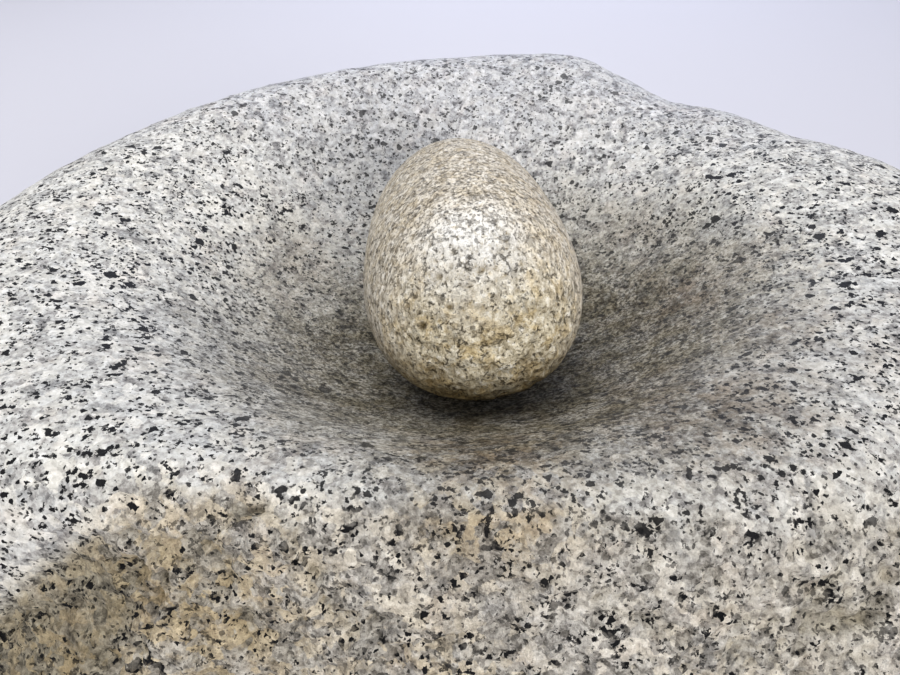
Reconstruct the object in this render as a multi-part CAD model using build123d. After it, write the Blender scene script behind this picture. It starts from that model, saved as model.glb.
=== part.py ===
"""A molcajete worked from one granite boulder, with its loose hand stone.

The mortar is a natural boulder. Its top is ground into a wide round basin, its front is an old
break that slopes to the ground, and its underside has a level patch that it stands on. The hand
stone, or tejolote, is a separate river cobble that lies in the basin and lifts straight out.

Millimetres, +Z up, +Y to the back. The base of the boulder stands on Z = 0, and the origin is
the middle of the boulder's outline.
"""

from build123d import *
import math
import os

# ---- Driving dimensions of the mortar ------------------------------------------------------
BASIN_FLOOR = 85.0  # height of the deepest point of the basin above the ground
BASIN_CURVE = 150.0  # radius of the sphere that the ground basin follows
FLAT_RADIUS = 12.0  # level patch at the very bottom of the basin
GROUND_RADII = (80.0, 60.0, 40.0, 25.0)  # rings of the basin that lie wholly on that sphere
MOUTH_RADIUS = 106.0  # where the grinding wear fades into the natural top
MOUTH_LEVEL = 26.0  # height of the mouth above the basin's floor, on a level top
MOUTH_SHARE = 0.28  # share of the lip's own height that the mouth gains
SKIRT_OUT = 0.74  # the skirt is this share of the way out from the foot to the belly
SKIRT_UP = 0.30  # and this share of the way up
EDGE_OUT = 9.0  # the worn edge of the foot reaches this far out
EDGE_UP = 4.0  # and this far up
BOULDER_LOOPS = 24  # the skin is lofted through this many steps from foot to floor

# The boulder, surveyed from the basin's middle at the sixteen points of the compass, with
# east along +X and north along +Y. For each: the radius and height of the lip, which is the
# highest line round the basin, the radius and height of the belly, which is the widest line
# of the flank, the radius of the patch it stands on, and how full the shoulder between lip and
# belly is (0.5 is a flat bevel and 0.7 a quarter of an ellipse).
SURVEY = {
    "E": (197, 137, 236, 60, 172, 0.76),
    "ENE": (185, 140, 226, 62, 165, 0.75),
    "NE": (155, 142, 202, 66, 150, 0.71),
    "NNE": (162, 157, 203, 72, 148, 0.75),
    "N": (145, 157, 190, 70, 142, 0.75),
    "NNW": (139, 155, 183, 68, 138, 0.75),
    "NW": (146, 151, 192, 66, 142, 0.73),
    "WNW": (158, 144, 204, 64, 150, 0.73),
    "W": (172, 139, 215, 62, 160, 0.75),
    "WSW": (176, 137, 220, 58, 166, 0.72),
    "SW": (168, 136, 214, 52, 166, 0.64),
    "SSW": (140, 136, 178, 46, 146, 0.56),
    "S": (130, 135, 174, 44, 146, 0.56),
    "SSE": (147, 135, 190, 46, 156, 0.58),
    "SE": (172, 134, 218, 52, 170, 0.64),
    "ESE": (190, 133, 234, 58, 178, 0.70),
}

# ---- Driving dimensions of the hand stone --------------------------------------------------
HALF_LENGTH = 69.0  # from the middle of the cobble to each tip
GIRTH = 38.6  # radius at the middle
TAPER = 0.058  # share by which the head is fuller, and the tail slimmer, than the middle
BLUNTNESS = 2.75  # 2 is an ellipse; more is blunter at the ends
TIP_TURN = 0.10  # radians from each tip at which the skin is closed with a worn flat
FLANK_LOBES = 3  # flattened flanks around the section
FLANK_FLAT = 0.022  # how far the section is from round, as a share of its radius
SECTION_POINTS = 12  # measured points round each section
STONE_LOOPS = 18  # the skin is lofted through this many steps from tip to tip
STONE_AT = Vector(6.0, -5.6, BASIN_FLOOR + 41.57)  # middle of the cobble, from the basin's axis
YAW = 4.2  # degrees that the slim end points to the left of straight back
TILT = 6.9  # degrees that the slim end lies lower than level


def closed_loop(points):
    """A smooth closed wire through the points."""
    return Wire([Edge.make_spline(points, periodic=True)])


def basin_height(radius):
    """Height of the ground sphere at a distance from the basin's axis."""
    return BASIN_FLOOR + BASIN_CURVE - math.sqrt(BASIN_CURVE**2 - radius**2)


def mouth_height(lip_height):
    """Height of the basin's mouth below a lip of the given height."""
    return BASIN_FLOOR + MOUTH_LEVEL + MOUTH_SHARE * (lip_height - BASIN_FLOOR)


def between(low, high, share):
    return low + (high - low) * share


def boulder_profile(bearing, lip_r, lip_z, belly_r, belly_z, foot_r, fullness):
    """The boulder's outline at one bearing, from its foot over the lip to the basin's floor."""
    outward = Vector(math.cos(bearing), math.sin(bearing), 0)
    outline = [
        (foot_r, 0),
        (foot_r + EDGE_OUT, EDGE_UP),
        (between(foot_r, belly_r, SKIRT_OUT), belly_z * SKIRT_UP),
        (belly_r, belly_z),
        (between(lip_r, belly_r, fullness), between(belly_z, lip_z, fullness)),
        (lip_r, lip_z),
        (MOUTH_RADIUS, mouth_height(lip_z)),
        *((r, basin_height(r)) for r in GROUND_RADII),
        (FLAT_RADIUS, BASIN_FLOOR),
    ]
    return Edge.make_spline([outward * r + Vector(0, 0, z) for r, z in outline])


def make_mortar():
    step = math.tau / len(SURVEY)
    profiles = [boulder_profile(i * step, *row) for i, row in enumerate(SURVEY.values())]
    stations = [i / BOULDER_LOOPS for i in range(BOULDER_LOOPS + 1)]
    loops = [closed_loop([p.position_at(t) for p in profiles]) for t in stations]
    return Solid.make_loft(loops)


def power(value, exponent):
    """A power that keeps the sign of the value."""
    return math.copysign(abs(value) ** exponent, value)


def stone_section(turn):
    """A loop round the hand stone's long axis, where turn runs from 0 at the head's tip to pi."""
    along = -power(math.cos(turn), 2 / BLUNTNESS)
    girth = GIRTH * power(math.sin(turn), 2 / BLUNTNESS) * (1 - TAPER * along)
    points = []
    for i in range(SECTION_POINTS):
        around = i * math.tau / SECTION_POINTS
        lobes = math.cos(FLANK_LOBES * (around - math.pi / 2))
        r = girth * (1 + FLANK_FLAT * lobes)
        points.append(Vector(r * math.cos(around), HALF_LENGTH * along, r * math.sin(around)))
    return closed_loop(points)


def make_hand_stone():
    """The cobble, built along +Y about its own middle, then turned and laid in the basin."""
    turns = [between(TIP_TURN, math.pi - TIP_TURN, i / STONE_LOOPS) for i in range(STONE_LOOPS + 1)]
    stone = Solid.make_loft([stone_section(turn) for turn in turns])
    return stone.rotate(Axis.X, -TILT).rotate(Axis.Z, YAW).translate(STONE_AT)


mortar = make_mortar()
hand_stone = make_hand_stone()

outline = mortar.bounding_box()
to_origin = Vector(-outline.center().X, -outline.center().Y, 0)
mortar = mortar.translate(to_origin)
hand_stone = hand_stone.translate(to_origin)

os.makedirs("parts", exist_ok=True)
for name, solid in {"mortar_boulder": mortar, "hand_stone": hand_stone}.items():
    export_step(solid, f"parts/{name}.step")
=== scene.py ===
import math

import bmesh
import bpy
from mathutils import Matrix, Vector, noise


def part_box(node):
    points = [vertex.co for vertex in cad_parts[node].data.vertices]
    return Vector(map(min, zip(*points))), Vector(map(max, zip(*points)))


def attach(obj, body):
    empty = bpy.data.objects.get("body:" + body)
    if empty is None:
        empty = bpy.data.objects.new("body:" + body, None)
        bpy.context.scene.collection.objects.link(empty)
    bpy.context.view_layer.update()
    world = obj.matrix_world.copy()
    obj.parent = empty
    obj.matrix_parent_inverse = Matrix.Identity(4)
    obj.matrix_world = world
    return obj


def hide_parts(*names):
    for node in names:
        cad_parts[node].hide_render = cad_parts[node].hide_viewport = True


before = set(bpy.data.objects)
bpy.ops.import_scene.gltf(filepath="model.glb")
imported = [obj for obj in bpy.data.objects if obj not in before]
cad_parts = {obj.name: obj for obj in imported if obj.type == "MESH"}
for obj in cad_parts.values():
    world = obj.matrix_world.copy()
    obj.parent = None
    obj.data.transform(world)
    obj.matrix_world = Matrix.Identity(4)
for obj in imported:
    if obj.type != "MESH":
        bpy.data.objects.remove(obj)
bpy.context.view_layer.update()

scene = bpy.context.scene
noise.seed_set(7)


# ---- The mortar boulder ----------------------------------------------------------------------
# A river-worn granite boulder. Its top has been ground into a smooth round basin by years of
# use, and its front is an old break, rough and faceted, that was never dressed. The back and
# the flanks keep the boulder's weathered natural skin.

BASIN_AXIS = Vector((-0.0106, -0.0089, 0.0))  # where the basin's axis stands
GROUND_IN = 0.078  # the ground surface starts to fade at this distance from the axis
GROUND_OUT = 0.114  # and has faded into the natural top at this one
SKIN_SIZE = 0.0028  # size of the skin's faces before the break is refined
DRIFT_SIZE = 0.035  # slow noise of this size makes every boundary wander

# Relief as pairs of the size and the height of its bumps, in metres.
FLANK_WAVES = ((0.085, 0.0060), (0.038, 0.0024))  # long undulations of the weathered flanks
TOP_WAVES = (0.055, 0.0016)
GRIT = (0.014, 0.0005)
GRINDING = (0.020, 0.0003)
BIG_FLAKES = (0.034, 0.0044)  # flat flakes of the break
SMALL_FLAKES = (0.013, 0.0030)
CRUMBS = (0.0055, 0.0012)
GRAIN_SEAMS = (0.0046, 0.0008)
FLANK_SUNK = 0.0015  # keeps the undulations inside the boulder's outline

# Hollows (negative) and swellings (positive) of the stone: place from the basin's axis, reach
# and height, in metres.
SWELLS = (
    ((-0.088, -0.138, 0.118), 0.028, -0.0030),  # head of the gully down the front left
    ((-0.106, -0.141, 0.106), 0.034, -0.0060),  # middle of the gully
    ((-0.124, -0.145, 0.088), 0.040, -0.0095),  # lower part of the gully
    ((-0.142, -0.148, 0.064), 0.048, -0.0090),  # foot of the gully
    ((-0.122, -0.116, 0.130), 0.034, 0.0030),  # natural bulge above the gully
    ((0.043, -0.138, 0.104), 0.017, -0.0040),  # shell-shaped chip right of the middle
    ((0.020, -0.150, 0.080), 0.022, -0.0044),  # and one below it
    ((0.088, -0.131, 0.127), 0.014, -0.0032),  # ledge along the right of the crest
    ((0.074, -0.130, 0.128), 0.012, -0.0028),  # its left end
    ((0.102, -0.131, 0.127), 0.012, -0.0028),  # and its right end
    ((0.083, 0.033, 0.112), 0.026, -0.0026),  # shallow side hollow in the basin's right wall
    ((0.104, 0.020, 0.120), 0.022, -0.0030),  # and the way out of it
    ((0.030, 0.138, 0.157), 0.050, -0.0035),  # flat stretch of the back rim
    ((0.104, 0.140, 0.142), 0.022, 0.0020),  # shoulder of the notch in the back rim
    ((0.140, 0.112, 0.138), 0.045, 0.0060),  # swelling right of the notch
)

# Brown stains rubbed into the stone, and patches of creamy feldspar: place from the basin's
# axis, reach and strength.
STAINS = (
    ((0.090, -0.018, 0.108), 0.036, 1.0),
    ((0.112, -0.060, 0.122), 0.032, 0.9),
    ((0.086, 0.034, 0.112), 0.030, 0.4),
    ((0.070, -0.070, 0.110), 0.030, 0.7),
    ((0.012, -0.112, 0.126), 0.046, 1.0),
    ((0.074, -0.100, 0.126), 0.056, 0.9),
    ((0.135, -0.085, 0.128), 0.050, 0.5),
    ((-0.072, 0.030, 0.104), 0.034, 0.4),
)
CREAM = (
    ((0.010, -0.116, 0.128), 0.042, 1.8),
    ((-0.062, -0.140, 0.104), 0.060, 1.0),
    ((-0.095, -0.145, 0.075), 0.060, 1.0),
    ((-0.010, -0.152, 0.080), 0.055, 0.8),
    ((0.060, -0.150, 0.085), 0.045, 0.4),
    ((0.125, -0.020, 0.128), 0.030, 0.4),
)


def smooth(low, high, value):
    """0 below low, 1 above high, and an even S between."""
    share = min(max((value - low) / (high - low), 0.0), 1.0)
    return share * share * (3 - 2 * share)


def even_skin(node, name, face_size, evenings):
    """A closed skin of small even faces over a merged copy of a CAD node."""
    piece = bpy.data.objects.new(name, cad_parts[node].data.copy())
    piece.data.materials.clear()
    scene.collection.objects.link(piece)
    skin = bmesh.new()
    skin.from_mesh(piece.data)
    bmesh.ops.remove_doubles(skin, verts=skin.verts, dist=1e-5)
    skin.to_mesh(piece.data)
    remesh = piece.modifiers.new("even skin", "REMESH")
    remesh.mode = "VOXEL"
    remesh.voxel_size = face_size
    made = piece.evaluated_get(bpy.context.evaluated_depsgraph_get())
    piece.data = bpy.data.meshes.new_from_object(made)
    piece.modifiers.clear()
    skin.clear()
    skin.from_mesh(piece.data)
    for _ in range(evenings):
        bmesh.ops.smooth_vert(
            skin, verts=skin.verts, factor=0.5, use_axis_x=True, use_axis_y=True, use_axis_z=True
        )
    skin.to_mesh(piece.data)
    skin.free()
    return piece


def carve(piece, surface, masks):
    """Moves each point along its normal and keeps the masks that surface() works out there."""
    points = [(p.co.copy(), p.normal.copy()) for p in piece.data.vertices]
    worked = [surface(place, normal) for place, normal in points]
    for point, (place, normal), (height, _) in zip(piece.data.vertices, points, worked):
        point.co = place + normal * height
    for i, mask in enumerate(masks):
        stored = piece.data.attributes.new(mask, "FLOAT", "POINT")
        stored.data.foreach_set("value", [values[i] for _, values in worked])
    piece.data.shade_smooth()
    piece.data.update()


def flakes(place, size):
    """Height of a fractured surface of flat flakes of about this size, as a share of it."""
    _, centres = noise.voronoi(place / size)
    tilt = noise.noise_vector(centres[0] * 5.3)
    return tilt.dot(place / size - centres[0]) + 0.5 * tilt.x


def seams(place, size):
    """1 in the seams between grains of about this size and 0 on their crowns."""
    distances, _ = noise.voronoi(place / size)
    return smooth(0.28, 0.64, distances[0])


def refine(piece, chosen):
    """Splits in four the faces of a piece that are chosen by their middle and normal."""
    skin = bmesh.new()
    skin.from_mesh(piece.data)
    faces = [f for f in skin.faces if chosen(f.calc_center_median(), f.normal)]
    edges = list({edge for face in faces for edge in face.edges})
    bmesh.ops.subdivide_edges(skin, edges=edges, cuts=1, use_grid_fill=True)
    skin.to_mesh(piece.data)
    skin.free()


def patches(places, at):
    """What each of some soft round patches, such as SWELLS, amounts to at a place."""
    amounts = []
    for middle, reach, amount in places:
        distance = (at - Vector(middle)).length
        amounts.append(amount * (1 - smooth(0.0, reach, distance)))
    return amounts


def broken_share(place, normal):
    """1 on the old break down the front and 0 on the natural skin."""
    at = place - BASIN_AXIS
    drift = noise.noise(place / DRIFT_SIZE)
    frayed = noise.fractal(place / 0.010, 0.8, 2.0, 3)
    above_gully = smooth(0.194, 0.210, at.z - 0.84 * at.x + 0.005 * drift)
    left_end = smooth(-0.190, -0.165, at.x + 0.01 * drift)
    right_end = 1 - smooth(0.145, 0.185, at.x + 0.02 * drift)
    top_end = smooth(0.15, 0.75, -normal.y + 0.15 * drift + 0.20 * frayed)
    front = smooth(0.105, 0.125, -at.y + 0.006 * drift)
    return (1 - above_gully) * left_end * right_end * top_end * front


def skin_relief(place, normal, wear):
    """Height of the natural skin's undulations and grit, which the grinding wears down."""
    flank = 1 - smooth(0.15, 0.60, normal.z)
    waves = sum(rise * noise.noise(place / size) for size, rise in FLANK_WAVES)
    height = flank * (waves - FLANK_SUNK)
    size, rise = TOP_WAVES
    height += rise * noise.noise(place / size) * (1 - wear)
    size, rise = GRIT
    height += rise * noise.fractal(place / size, 0.8, 2.0, 3) * (1 - 0.8 * wear)
    size, rise = GRINDING
    return height - rise * wear * (1 + noise.noise(place / size))


def break_relief(place):
    """Height of the rough break: flat flakes, crumbs on them and seams between the crystals."""
    size, rise = BIG_FLAKES
    height = rise * flakes(place, size)
    size, rise = SMALL_FLAKES
    height += rise * flakes(place + Vector((0.3, 0, 0)), size)
    size, rise = CRUMBS
    height += rise * noise.fractal(place / size, 0.7, 2.0, 3)
    size, rise = GRAIN_SEAMS
    return height - rise * seams(place, size)


def boulder_surface(place, normal):
    """How far a point of the boulder moves out, and its BOULDER_MASKS."""
    at = place - BASIN_AXIS
    drift = noise.noise(place / DRIFT_SIZE)
    across = Vector((at.x, at.y, 0)).length
    faces_up = smooth(0.0, 0.3, normal.z)
    wear = faces_up * (1 - smooth(GROUND_IN, GROUND_OUT, across + 0.008 * drift))
    broken = broken_share(place, normal)

    height = sum(patches(SWELLS, at)) + skin_relief(place, normal, wear)
    if broken > 0:
        height += broken * break_relief(place)
    if normal.z < 0:
        height = min(height, place.z / -normal.z)  # nothing goes below the ground

    rubbed = Vector((at.x - 0.016, at.y + 0.030, 0)).length + 0.016 * drift
    grime = faces_up * (1 - smooth(0.052, 0.126, rubbed))
    stain = max(patches(STAINS, at))
    cream = max(patches(CREAM, at)) * (0.3 + 0.7 * broken)
    # painted shade: the colour darkens where the surface sinks into a hollow
    hollow = smooth(0.0005, 0.0060, -height)
    # painted shade: the colour darkens on faces that look down
    under = smooth(-0.1, -0.6, normal.z)
    # 1 at the mica-rich front; towards 0 at the back, which also gets a painted cool reflection
    dense = 1 - smooth(0.03, 0.13, at.y + 0.02 * drift)
    return height, (grime, broken, stain, cream, hollow, under, dense)


# Where the stone is soiled by use, broken, stained, creamy, sunk and facing down (both painted
# shade), and rich in mica (the back, poor in mica, has a painted cool reflection).
BOULDER_MASKS = ("grime", "broken", "stain", "cream", "hollow", "under", "dense")
boulder = even_skin("mortar_boulder", "granite_boulder", SKIN_SIZE, 5)
refine(boulder, lambda middle, normal: broken_share(middle, normal) > 0.3)
carve(boulder, boulder_surface, BOULDER_MASKS)


class Value:
    """A socket of the material being made. Arithmetic on it adds Math nodes."""

    tree = None

    def __init__(self, socket):
        self.socket = socket

    @classmethod
    def node(cls, kind, settings=None, sockets=None, out=0):
        """Adds a node of this kind, sets it up and gives one of its outputs."""
        made = cls.tree.nodes.new("ShaderNode" + kind)
        for name, setting in (settings or {}).items():
            if name == "stops":
                ramp = made.color_ramp
                while len(ramp.elements) < len(setting):
                    ramp.elements.new(1.0)
                for stop, (position, colour) in zip(ramp.elements, setting):
                    stop.position = position
                    stop.color = colour
            else:
                setattr(made, name, setting)
        for name, value in (sockets or {}).items():
            socket = next(s for s in made.inputs if s.identifier == name)
            if isinstance(value, Value):
                cls.tree.links.new(value.socket, socket)
            else:
                socket.default_value = value
        return cls(made.outputs[out]) if made.outputs else None

    def maths(self, operation, other, swapped=False):
        pair = (other, self) if swapped else (self, other)
        return Value.node("Math", {"operation": operation}, {"Value": pair[0], "Value_001": pair[1]})

    def __add__(self, other):
        return self.maths("ADD", other)

    def __radd__(self, other):
        return self.maths("ADD", other)

    def __sub__(self, other):
        return self.maths("SUBTRACT", other)

    def __rsub__(self, other):
        return self.maths("SUBTRACT", other, swapped=True)

    def __mul__(self, other):
        return self.maths("MULTIPLY", other)

    def __rmul__(self, other):
        return self.maths("MULTIPLY", other)


def new_material(name):
    """An empty material, which the nodes that follow are added to."""
    material = bpy.data.materials.new(name)
    material.use_nodes = True
    material.node_tree.nodes.clear()
    Value.tree = material.node_tree
    return material


def rgb(red, green, blue):
    """A colour given as it shows on a screen, 0 to 255, as the shader's linear RGBA."""
    linear = [((part / 255 + 0.055) / 1.055) ** 2.4 for part in (red, green, blue)]
    return (*linear, 1.0)


def ease(value, low, high):
    """0 where value is at low, 1 where it is at high, and an even S between."""
    return Value.node(
        "MapRange",
        {"interpolation_type": "SMOOTHSTEP"},
        {"Value": value, "From Min": low, "From Max": high},
    )


def graded(value, *stops):
    """A colour ramp: each stop is a value and a colour."""
    return Value.node("ValToRGB", {"stops": stops}, {"Fac": value})


def mixed(share, first, second):
    """The first colour where share is 0 and the second where it is 1."""
    return Value.node(
        "Mix",
        {"data_type": "RGBA"},
        {"Factor_Float": share, "A_Color": first, "B_Color": second},
        out=2,
    )


def mask(name):
    """One of the masks that carve() kept on the piece."""
    return Value.node("Attribute", {"attribute_name": name}, out="Fac")


def clouds(at, size, detail=2.0, roughness=0.5, out="Fac"):
    """Soft noise with lumps of about this size, in metres."""
    sockets = {"Vector": at, "Scale": 1 / size, "Detail": detail, "Roughness": roughness}
    return Value.node("TexNoise", None, sockets, out=out)


def shifted(at, offset, amount):
    """Coordinates moved by a vector, times an amount."""
    moved = Value.node(
        "VectorMath", {"operation": "SCALE"}, {"Vector": offset, "Scale": amount}
    )
    return Value.node("VectorMath", {"operation": "ADD"}, {"Vector": at, "Vector_001": moved})


def grains(at, size):
    """Crystals of about this size, each with a random number of its own."""
    colour = Value.node("TexVoronoi", None, {"Vector": at, "Scale": 1 / size}, out="Color")
    return Value.node("SeparateColor", None, {"Color": colour})


def seam_distance(at, size):
    """How far from the nearest seam between crystals of about this size, as a share of it."""
    sockets = {"Vector": at, "Scale": 1 / size}
    return Value.node("TexVoronoi", {"feature": "DISTANCE_TO_EDGE"}, sockets, out="Distance")


def ragged(at, size, amount):
    """Coordinates for crystals with ragged outlines: moved by noise finer than the crystals."""
    centred = Value.node(
        "VectorMath",
        {"operation": "SUBTRACT"},
        {"Vector": clouds(at, size, 3.0, 0.65, out="Color"), "Vector_001": (0.5, 0.5, 0.5)},
    )
    return shifted(at, centred, amount)


def flecks(at, size, share):
    """1 inside a share of the crystals of about this size, chosen at random."""
    return grains(at, size).maths("LESS_THAN", share)


def either(first, second):
    """The larger of two shares."""
    return first.maths("MAXIMUM", second)


def apart(at, offset):
    """Coordinates far from the others, for a pattern that doesn't repeat theirs."""
    return shifted(at, offset, 1.0)


def stained(share, colour, stain):
    """The colour with a stain rubbed into it, which darkens it and keeps its detail."""
    return Value.node(
        "Mix",
        {"data_type": "RGBA", "blend_type": "MULTIPLY"},
        {"Factor_Float": share, "A_Color": colour, "B_Color": stain},
        out=2,
    )


def finish_material(colour, roughness, height, lift):
    """Ends a material in a Principled shader with a bump from the height."""
    bump = Value.node("Bump", None, {"Height": height, "Distance": lift, "Strength": 1.0})
    shader = Value.node(
        "BsdfPrincipled",
        None,
        {"Base Color": colour, "Roughness": roughness, "Normal": bump, "Specular IOR Level": 0.15},
    )
    Value.node("OutputMaterial", None, {"Surface": shader})


def granite_crystals(at, broken, cream, dense):
    """Milky feldspar and glassy grey quartz, in crystals with ragged, clouded edges."""
    coarse = grains(ragged(at, 0.0014, 0.0015), 0.0033)
    small = grains(ragged(at, 0.0009, 0.0009), 0.0015)
    mottle = clouds(at, 0.0024, 5.0, 0.75)
    milk = 0.46 * coarse + 0.36 * small + 1.5 * (mottle - 0.5) + 0.09
    skin = graded(
        milk,
        (0.00, rgb(112, 111, 110)),
        (0.22, rgb(160, 158, 155)),
        (0.48, rgb(196, 196, 192)),
        (0.75, rgb(215, 215, 212)),
        (1.00, rgb(233, 233, 231)),
    )
    fracture = graded(
        milk,
        (0.00, rgb(94, 90, 84)),
        (0.22, rgb(144, 140, 133)),
        (0.46, rgb(192, 188, 180)),
        (0.70, rgb(222, 218, 210)),
        (1.00, rgb(248, 246, 240)),
    )
    colour = mixed(broken, skin, fracture)

    # Creamy crystals, rose feldspar, cold grey clouds, and a painted cool reflection on the back.
    tint = clouds(at, 0.010, 5.0, 0.75)
    creamy = ease(0.7 * tint + 0.3 * coarse, 0.42, 0.60)
    colour = stained(creamy * (0.15 + 0.70 * cream), colour, rgb(240, 223, 188))
    colour = stained(broken * cream * 0.5, colour, rgb(224, 217, 200))
    rose = ease(clouds(apart(at, (1.0, 0.0, 0.0)), 0.014, 4.0, 0.7), 0.52, 0.66)
    colour = stained(rose * 0.2, colour, rgb(246, 230, 220))
    cold = ease(clouds(apart(at, (0.0, 2.0, 0.0)), 0.008, 5.0, 0.75), 0.52, 0.64)
    colour = stained(cold * 0.65, colour, rgb(162, 164, 169))
    # painted reflection: the back is tinted cool blue, as if lit by bluish light
    colour = stained(1 - dense, colour, rgb(237, 239, 248))
    relief = 0.6 * mottle + 0.3 * coarse + 0.6 * clouds(at, 0.0012, 3.0, 0.6)
    return colour, relief


def granite_mica(at, dense):
    """Black mica: fine specks that gather in clusters, and larger flecks on their own."""
    gather = ease(clouds(apart(at, (0.0, 0.0, 3.0)), 0.008, 5.0, 0.7), 0.45, 0.60)
    gather = gather * (0.45 + 0.55 * dense)
    dust = flecks(ragged(at, 0.0005, 0.0006), 0.0007, 0.03 + 0.10 * gather)
    fine = flecks(ragged(at, 0.0008, 0.0009), 0.0011, 0.025 + 0.14 * gather)
    middle = flecks(ragged(at, 0.0013, 0.0014), 0.0019, 0.015 + 0.060 * gather)
    large = flecks(ragged(at, 0.0022, 0.0026), 0.0034, 0.009)
    return either(either(0.85 * dust, fine), either(middle, large))


def granite_dirt_and_shade(at, colour, grime, broken, stain, hollow, under):
    """Grey brown grime in the ground basin, brown stains, painted shade in hollows and underneath."""
    smear = ease(clouds(at, 0.014, 5.0, 0.75), 0.38, 0.60)
    colour = stained(grime * (0.60 + 0.40 * smear), colour, rgb(164, 157, 138))
    dirt = ease(clouds(at, 0.0013, 5.0, 0.75), 0.44, 0.56)
    colour = stained(dirt * (0.12 + 0.75 * grime), colour, rgb(126, 118, 105))
    rubbed = stain * (0.25 + 0.75 * ease(clouds(at, 0.008, 5.0, 0.8), 0.42, 0.58))
    colour = stained(rubbed * 0.8, colour, rgb(166, 148, 128))
    # painted shade: darker and browner where the break sinks into hollows
    colour = stained(hollow * broken * 0.8, colour, rgb(186, 180, 160))
    # painted shade: darker on the faces that look down
    return stained(under * 0.6, colour, rgb(188, 172, 146))


def light_granite():
    material = new_material("light granite")
    at = Value.node("TexCoord", out="Object")
    grime, broken, stain, cream, hollow, under, dense = (mask(name) for name in BOULDER_MASKS)
    colour, relief = granite_crystals(at, broken, cream, dense)
    mica = granite_mica(at, dense)
    weathered = broken * ease(clouds(at, 0.0045, 3.0, 0.6), 0.46, 0.56)
    shown = 0.80 + 0.20 * dense - 0.30 * grime - 0.30 * weathered
    colour = mixed(mica * shown, colour, rgb(14, 14, 17))
    colour = granite_dirt_and_shade(at, colour, grime, broken, stain, hollow, under)
    height = (relief - 0.25 * mica) * (0.35 + 0.9 * broken)
    roughness = 0.75 - 0.20 * mica + 0.10 * broken
    finish_material(colour, roughness, height, 0.0015)
    return material


boulder.data.materials.append(light_granite())
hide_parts("mortar_boulder")
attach(boulder, "mortar")


# ---- The hand stone --------------------------------------------------------------------------
# A loose river cobble of finer, tan granite, held in the palm. Its broad end does the pounding
# and is rough and pitted there, and its flanks are polished by the hand.

STONE_SKIN = 0.00071  # size of the skin's faces
YAW = math.radians(4.2)  # the slim end points this much to the left of straight back
TILT = math.radians(6.9)  # and lies this much lower than level
LONG_AXIS = Vector((-math.sin(YAW) * math.cos(TILT), math.cos(YAW) * math.cos(TILT), -math.sin(TILT)))
HEAD_FULL = -0.068  # along the stone from its middle, where the rough head is fully rough
HEAD_END = -0.046  # and where it ends
HIGHLIGHT_AT = Vector((0.000, -0.052, 0.032))  # middle of the painted highlight, from the stone's middle
HIGHLIGHT_REACH = 0.030
STREAK_TILT = math.radians(70)  # the tool marks on the flanks run forward and down

stone_low, stone_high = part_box("hand_stone")
stone_middle = (stone_low + stone_high) / 2


def stone_surface(place, normal):
    """How far a point of the hand stone moves out, and its STONE_MASKS."""
    at = place - stone_middle
    along = at.dot(LONG_AXIS)
    drift = noise.noise(place / 0.012)
    head = 1 - smooth(HEAD_FULL, HEAD_END, along + 0.006 * drift)
    lumps = 0.5 + 0.5 * noise.fractal(place / 0.0060, 0.7, 2.0, 2)
    seam = seams(place + 0.0010 * noise.noise_vector(place / 0.0016), 0.0030)
    seam *= smooth(-0.3, 0.3, noise.noise(place / 0.0045))
    dents = 0.5 + 0.5 * noise.noise(place / 0.012)
    pit, _ = noise.voronoi(place / 0.0052)
    pits = (1 - smooth(0.10, 0.40, pit[0])) * smooth(0.0, 0.3, noise.noise(place / 0.009))
    rough = 0.0022 * lumps + 0.0008 * seam + 0.0006 * dents + 0.0018 * pits
    polished = 0.0002 * lumps + 0.0002 * seam + 0.0003 * dents
    height = -head * rough - (1 - head) * polished
    # painted highlight: a pale patch on the top front, where the light falls
    sheen = 1 - smooth(0.0, HIGHLIGHT_REACH, (at - HIGHLIGHT_AT).length + 0.006 * drift)
    # painted shade: darker on the faces that look down
    soot = smooth(-0.10, 0.70, -normal.z + 0.25 * drift)
    # painted shade in the pits and seams of the rough head
    hollow = head * max(0.3 * seam, pits)
    return height, (head, hollow, sheen, soot)


# Where the stone is its rough head, sunk (painted shade), lit by a painted highlight, and darkened
# from below by painted shade.
STONE_MASKS = ("head", "hollow", "sheen", "soot")
cobble = even_skin("hand_stone", "granite_cobble", STONE_SKIN, 8)
carve(cobble, stone_surface, STONE_MASKS)


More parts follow.
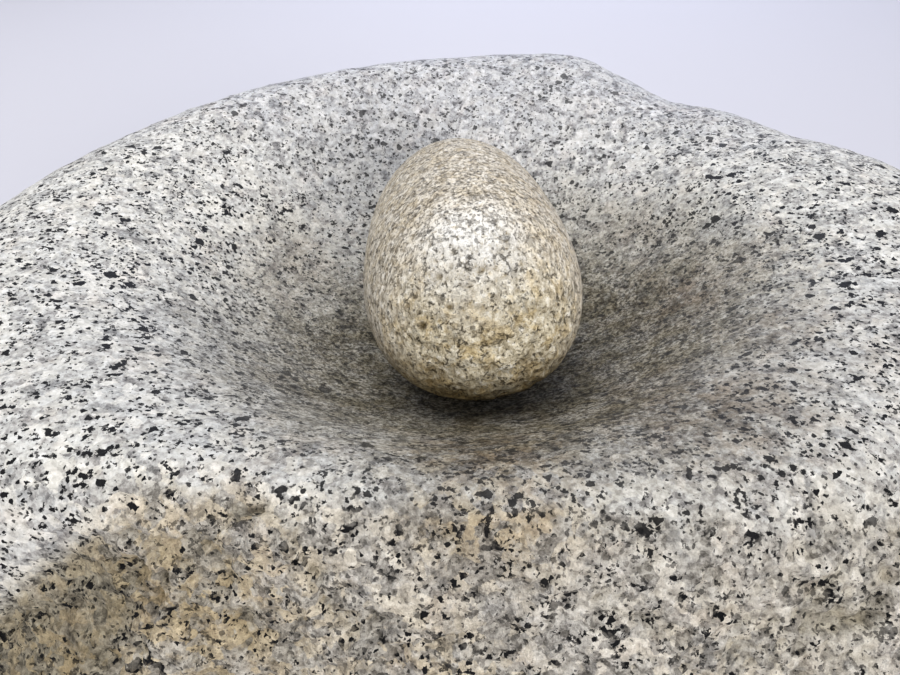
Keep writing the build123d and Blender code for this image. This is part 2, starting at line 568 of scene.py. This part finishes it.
def tan_grains(at, head, sheen):
    """Pinkish grey beige flanks; ochre and cream grains with grey quartz on the head; a painted
    highlight.
    """
    grain = grains(ragged(at, 0.0012, 0.0014), 0.0020)
    crumb = grains(ragged(at, 0.0006, 0.0006), 0.0009)
    mottle = clouds(at, 0.0020, 5.0, 0.8)
    milk = 0.44 * grain + 0.34 * crumb + 1.8 * (mottle - 0.5) + 0.12
    flank = graded(
        milk,
        (0.05, rgb(146, 136, 118)),
        (0.35, rgb(188, 178, 160)),
        (0.65, rgb(210, 202, 186)),
        (1.00, rgb(230, 224, 212)),
    )
    rough = graded(
        milk,
        (0.00, rgb(112, 104, 84)),
        (0.25, rgb(170, 159, 134)),
        (0.50, rgb(212, 201, 174)),
        (0.75, rgb(234, 226, 204)),
        (1.00, rgb(248, 244, 234)),
    )
    colour = mixed(head, flank, rough)
    ochre = ease(clouds(apart(at, (3.0, 0.0, 0.0)), 0.006, 4.0, 0.7), 0.46, 0.62)
    colour = stained(ochre * (0.30 + 0.30 * head), colour, rgb(242, 224, 180))
    quartz = flecks(ragged(at, 0.0024, 0.0026), 0.0038, 0.10)
    colour = mixed(quartz * (0.10 + 0.30 * head), colour, rgb(150, 147, 136))
    # painted highlight: pale patches at the top front of the head
    colour = mixed(sheen * ease(mottle, 0.32, 0.50) * 0.9, colour, rgb(236, 235, 231))
    relief = 0.6 * clouds(at, 0.0010, 3.0, 0.6) + 0.3 * grain + 0.2 * crumb
    return colour, relief * (0.25 + 1.35 * head)


def tool_marks(at, head):
    """Short dark streaks down the flanks."""
    turned = Value.node(
        "Mapping",
        {"vector_type": "TEXTURE"},
        {"Vector": at, "Rotation": (STREAK_TILT, 0.0, 0.0), "Scale": (1.0, 5.0, 1.0)},
    )
    return ease(clouds(turned, 0.0011, 3.0, 0.65), 0.52, 0.60) * (1 - 0.8 * head)


def grain_cracks(at):
    """Cracks round the grains, open in some patches only."""
    opened = ease(clouds(apart(at, (0.0, 5.0, 0.0)), 0.0034, 4.0, 0.7), 0.53, 0.61)
    return opened * ease(seam_distance(ragged(at, 0.0010, 0.0018), 0.0030), 0.12, 0.02)


def tan_granite():
    material = new_material("tan granite")
    at = Value.node("TexCoord", out="Object")
    head, hollow, sheen, soot = (mask(name) for name in STONE_MASKS)
    colour, relief = tan_grains(at, head, sheen)
    streaks = tool_marks(at, head)
    cracks = grain_cracks(at)
    small = flecks(ragged(at, 0.0005, 0.0006), 0.0007, 0.04)
    middle = flecks(ragged(at, 0.0007, 0.0012), 0.0013, 0.010)
    mica = either(small, middle)
    colour = mixed(streaks * 0.55, colour, rgb(98, 88, 70))
    colour = mixed(mica * (0.70 - 0.15 * head), colour, rgb(30, 27, 22))
    colour = mixed(cracks * (0.25 + 0.60 * head), colour, rgb(58, 50, 34))
    # painted shade in the pits and seams
    colour = stained(hollow, colour, rgb(140, 128, 98))
    # painted shade on the faces that look down
    colour = stained(soot, colour, rgb(178, 166, 136))
    height = relief - 0.25 * streaks - 0.3 * mica - 0.6 * cracks
    roughness = 0.68 + 0.12 * head - 0.15 * mica
    finish_material(colour, roughness, height, 0.0014)
    return material


cobble.data.materials.append(tan_granite())
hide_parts("hand_stone")
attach(cobble, "hand_stone")


# ---- The floor -------------------------------------------------------------------------------
# A plain, pale and dull table top, level at the boulder's foot. It is one wide square, so that
# it also fills the background.

FLOOR_SIZE = 12.0
FLOOR_COLOUR = rgb(189, 188, 194)


def plain_floor():
    grid = bmesh.new()
    bmesh.ops.create_grid(grid, x_segments=1, y_segments=1, size=FLOOR_SIZE / 2)
    mesh = bpy.data.meshes.new("floor")
    grid.to_mesh(mesh)
    grid.free()
    floor = bpy.data.objects.new("floor", mesh)
    scene.collection.objects.link(floor)
    material = new_material("pale floor")
    shader = Value.node("BsdfPrincipled", None, {"Base Color": FLOOR_COLOUR, "Roughness": 0.8})
    Value.node("OutputMaterial", None, {"Surface": shader})
    mesh.materials.append(material)
    return floor


plain_floor()


# ---- Light and camera ------------------------------------------------------------------------
# Soft daylight from above and all round, and a wide phone lens held close over the front edge.

LIT = Vector((0, 0, 0.1))  # what every lamp points at
SKY_COLOUR = rgb(238, 241, 253)
SKY_STRENGTH = 0.62
FILL_SPREAD = math.radians(24)  # how wide the low fill looks from the object


def aimed(name, kind, place, power, colour):
    """A lamp at a place, turned to the lit object."""
    lamp = bpy.data.lights.new(name, kind)
    lamp.color = colour[:3]
    lamp.energy = power
    holder = bpy.data.objects.new(name, lamp)
    holder.location = place
    holder.rotation_euler = (LIT - Vector(place)).to_track_quat("-Z", "Y").to_euler()
    scene.collection.objects.link(holder)
    return lamp


def soft_light(name, place, size, power, colour):
    """A square lamp with a side of this size."""
    lamp = aimed(name, "AREA", place, power, colour)
    lamp.shape = "SQUARE"
    lamp.size = size


soft_light("overhead", (-0.35, 0.25, 1.6), 1.4, 20, rgb(255, 253, 247))
soft_light("front fill", (0.3, -1.6, 0.9), 1.2, 6, rgb(255, 252, 246))
soft_light("back wash", (0.2, 1.5, 0.9), 1.2, 10, rgb(212, 222, 255))
low_fill = aimed("low fill", "SUN", (0.9, -2.0, 0.66), 2.05, rgb(255, 251, 246))
low_fill.angle = FILL_SPREAD

sky = bpy.data.worlds.new("soft sky")
sky.use_nodes = True
sky.node_tree.nodes["Background"].inputs["Color"].default_value = SKY_COLOUR
sky.node_tree.nodes["Background"].inputs["Strength"].default_value = SKY_STRENGTH
scene.world = sky
scene.view_settings.view_transform = "Standard"

LENS = 29.2  # focal length in millimetres, on a sensor SENSOR wide
SENSOR = 36
LOOK_DOWN = math.radians(37)
CAMERA_BACK = 0.248  # in front of the basin's axis
CAMERA_UP = 0.270

lens = bpy.data.cameras.new("phone lens")
lens.lens = LENS
lens.sensor_width = SENSOR
lens.clip_start = 0.01
camera = bpy.data.objects.new("camera", lens)
camera.location = BASIN_AXIS + Vector((0, -CAMERA_BACK, CAMERA_UP))
camera.rotation_euler = (math.pi / 2 - LOOK_DOWN, 0, 0)
scene.collection.objects.link(camera)
scene.camera = camera
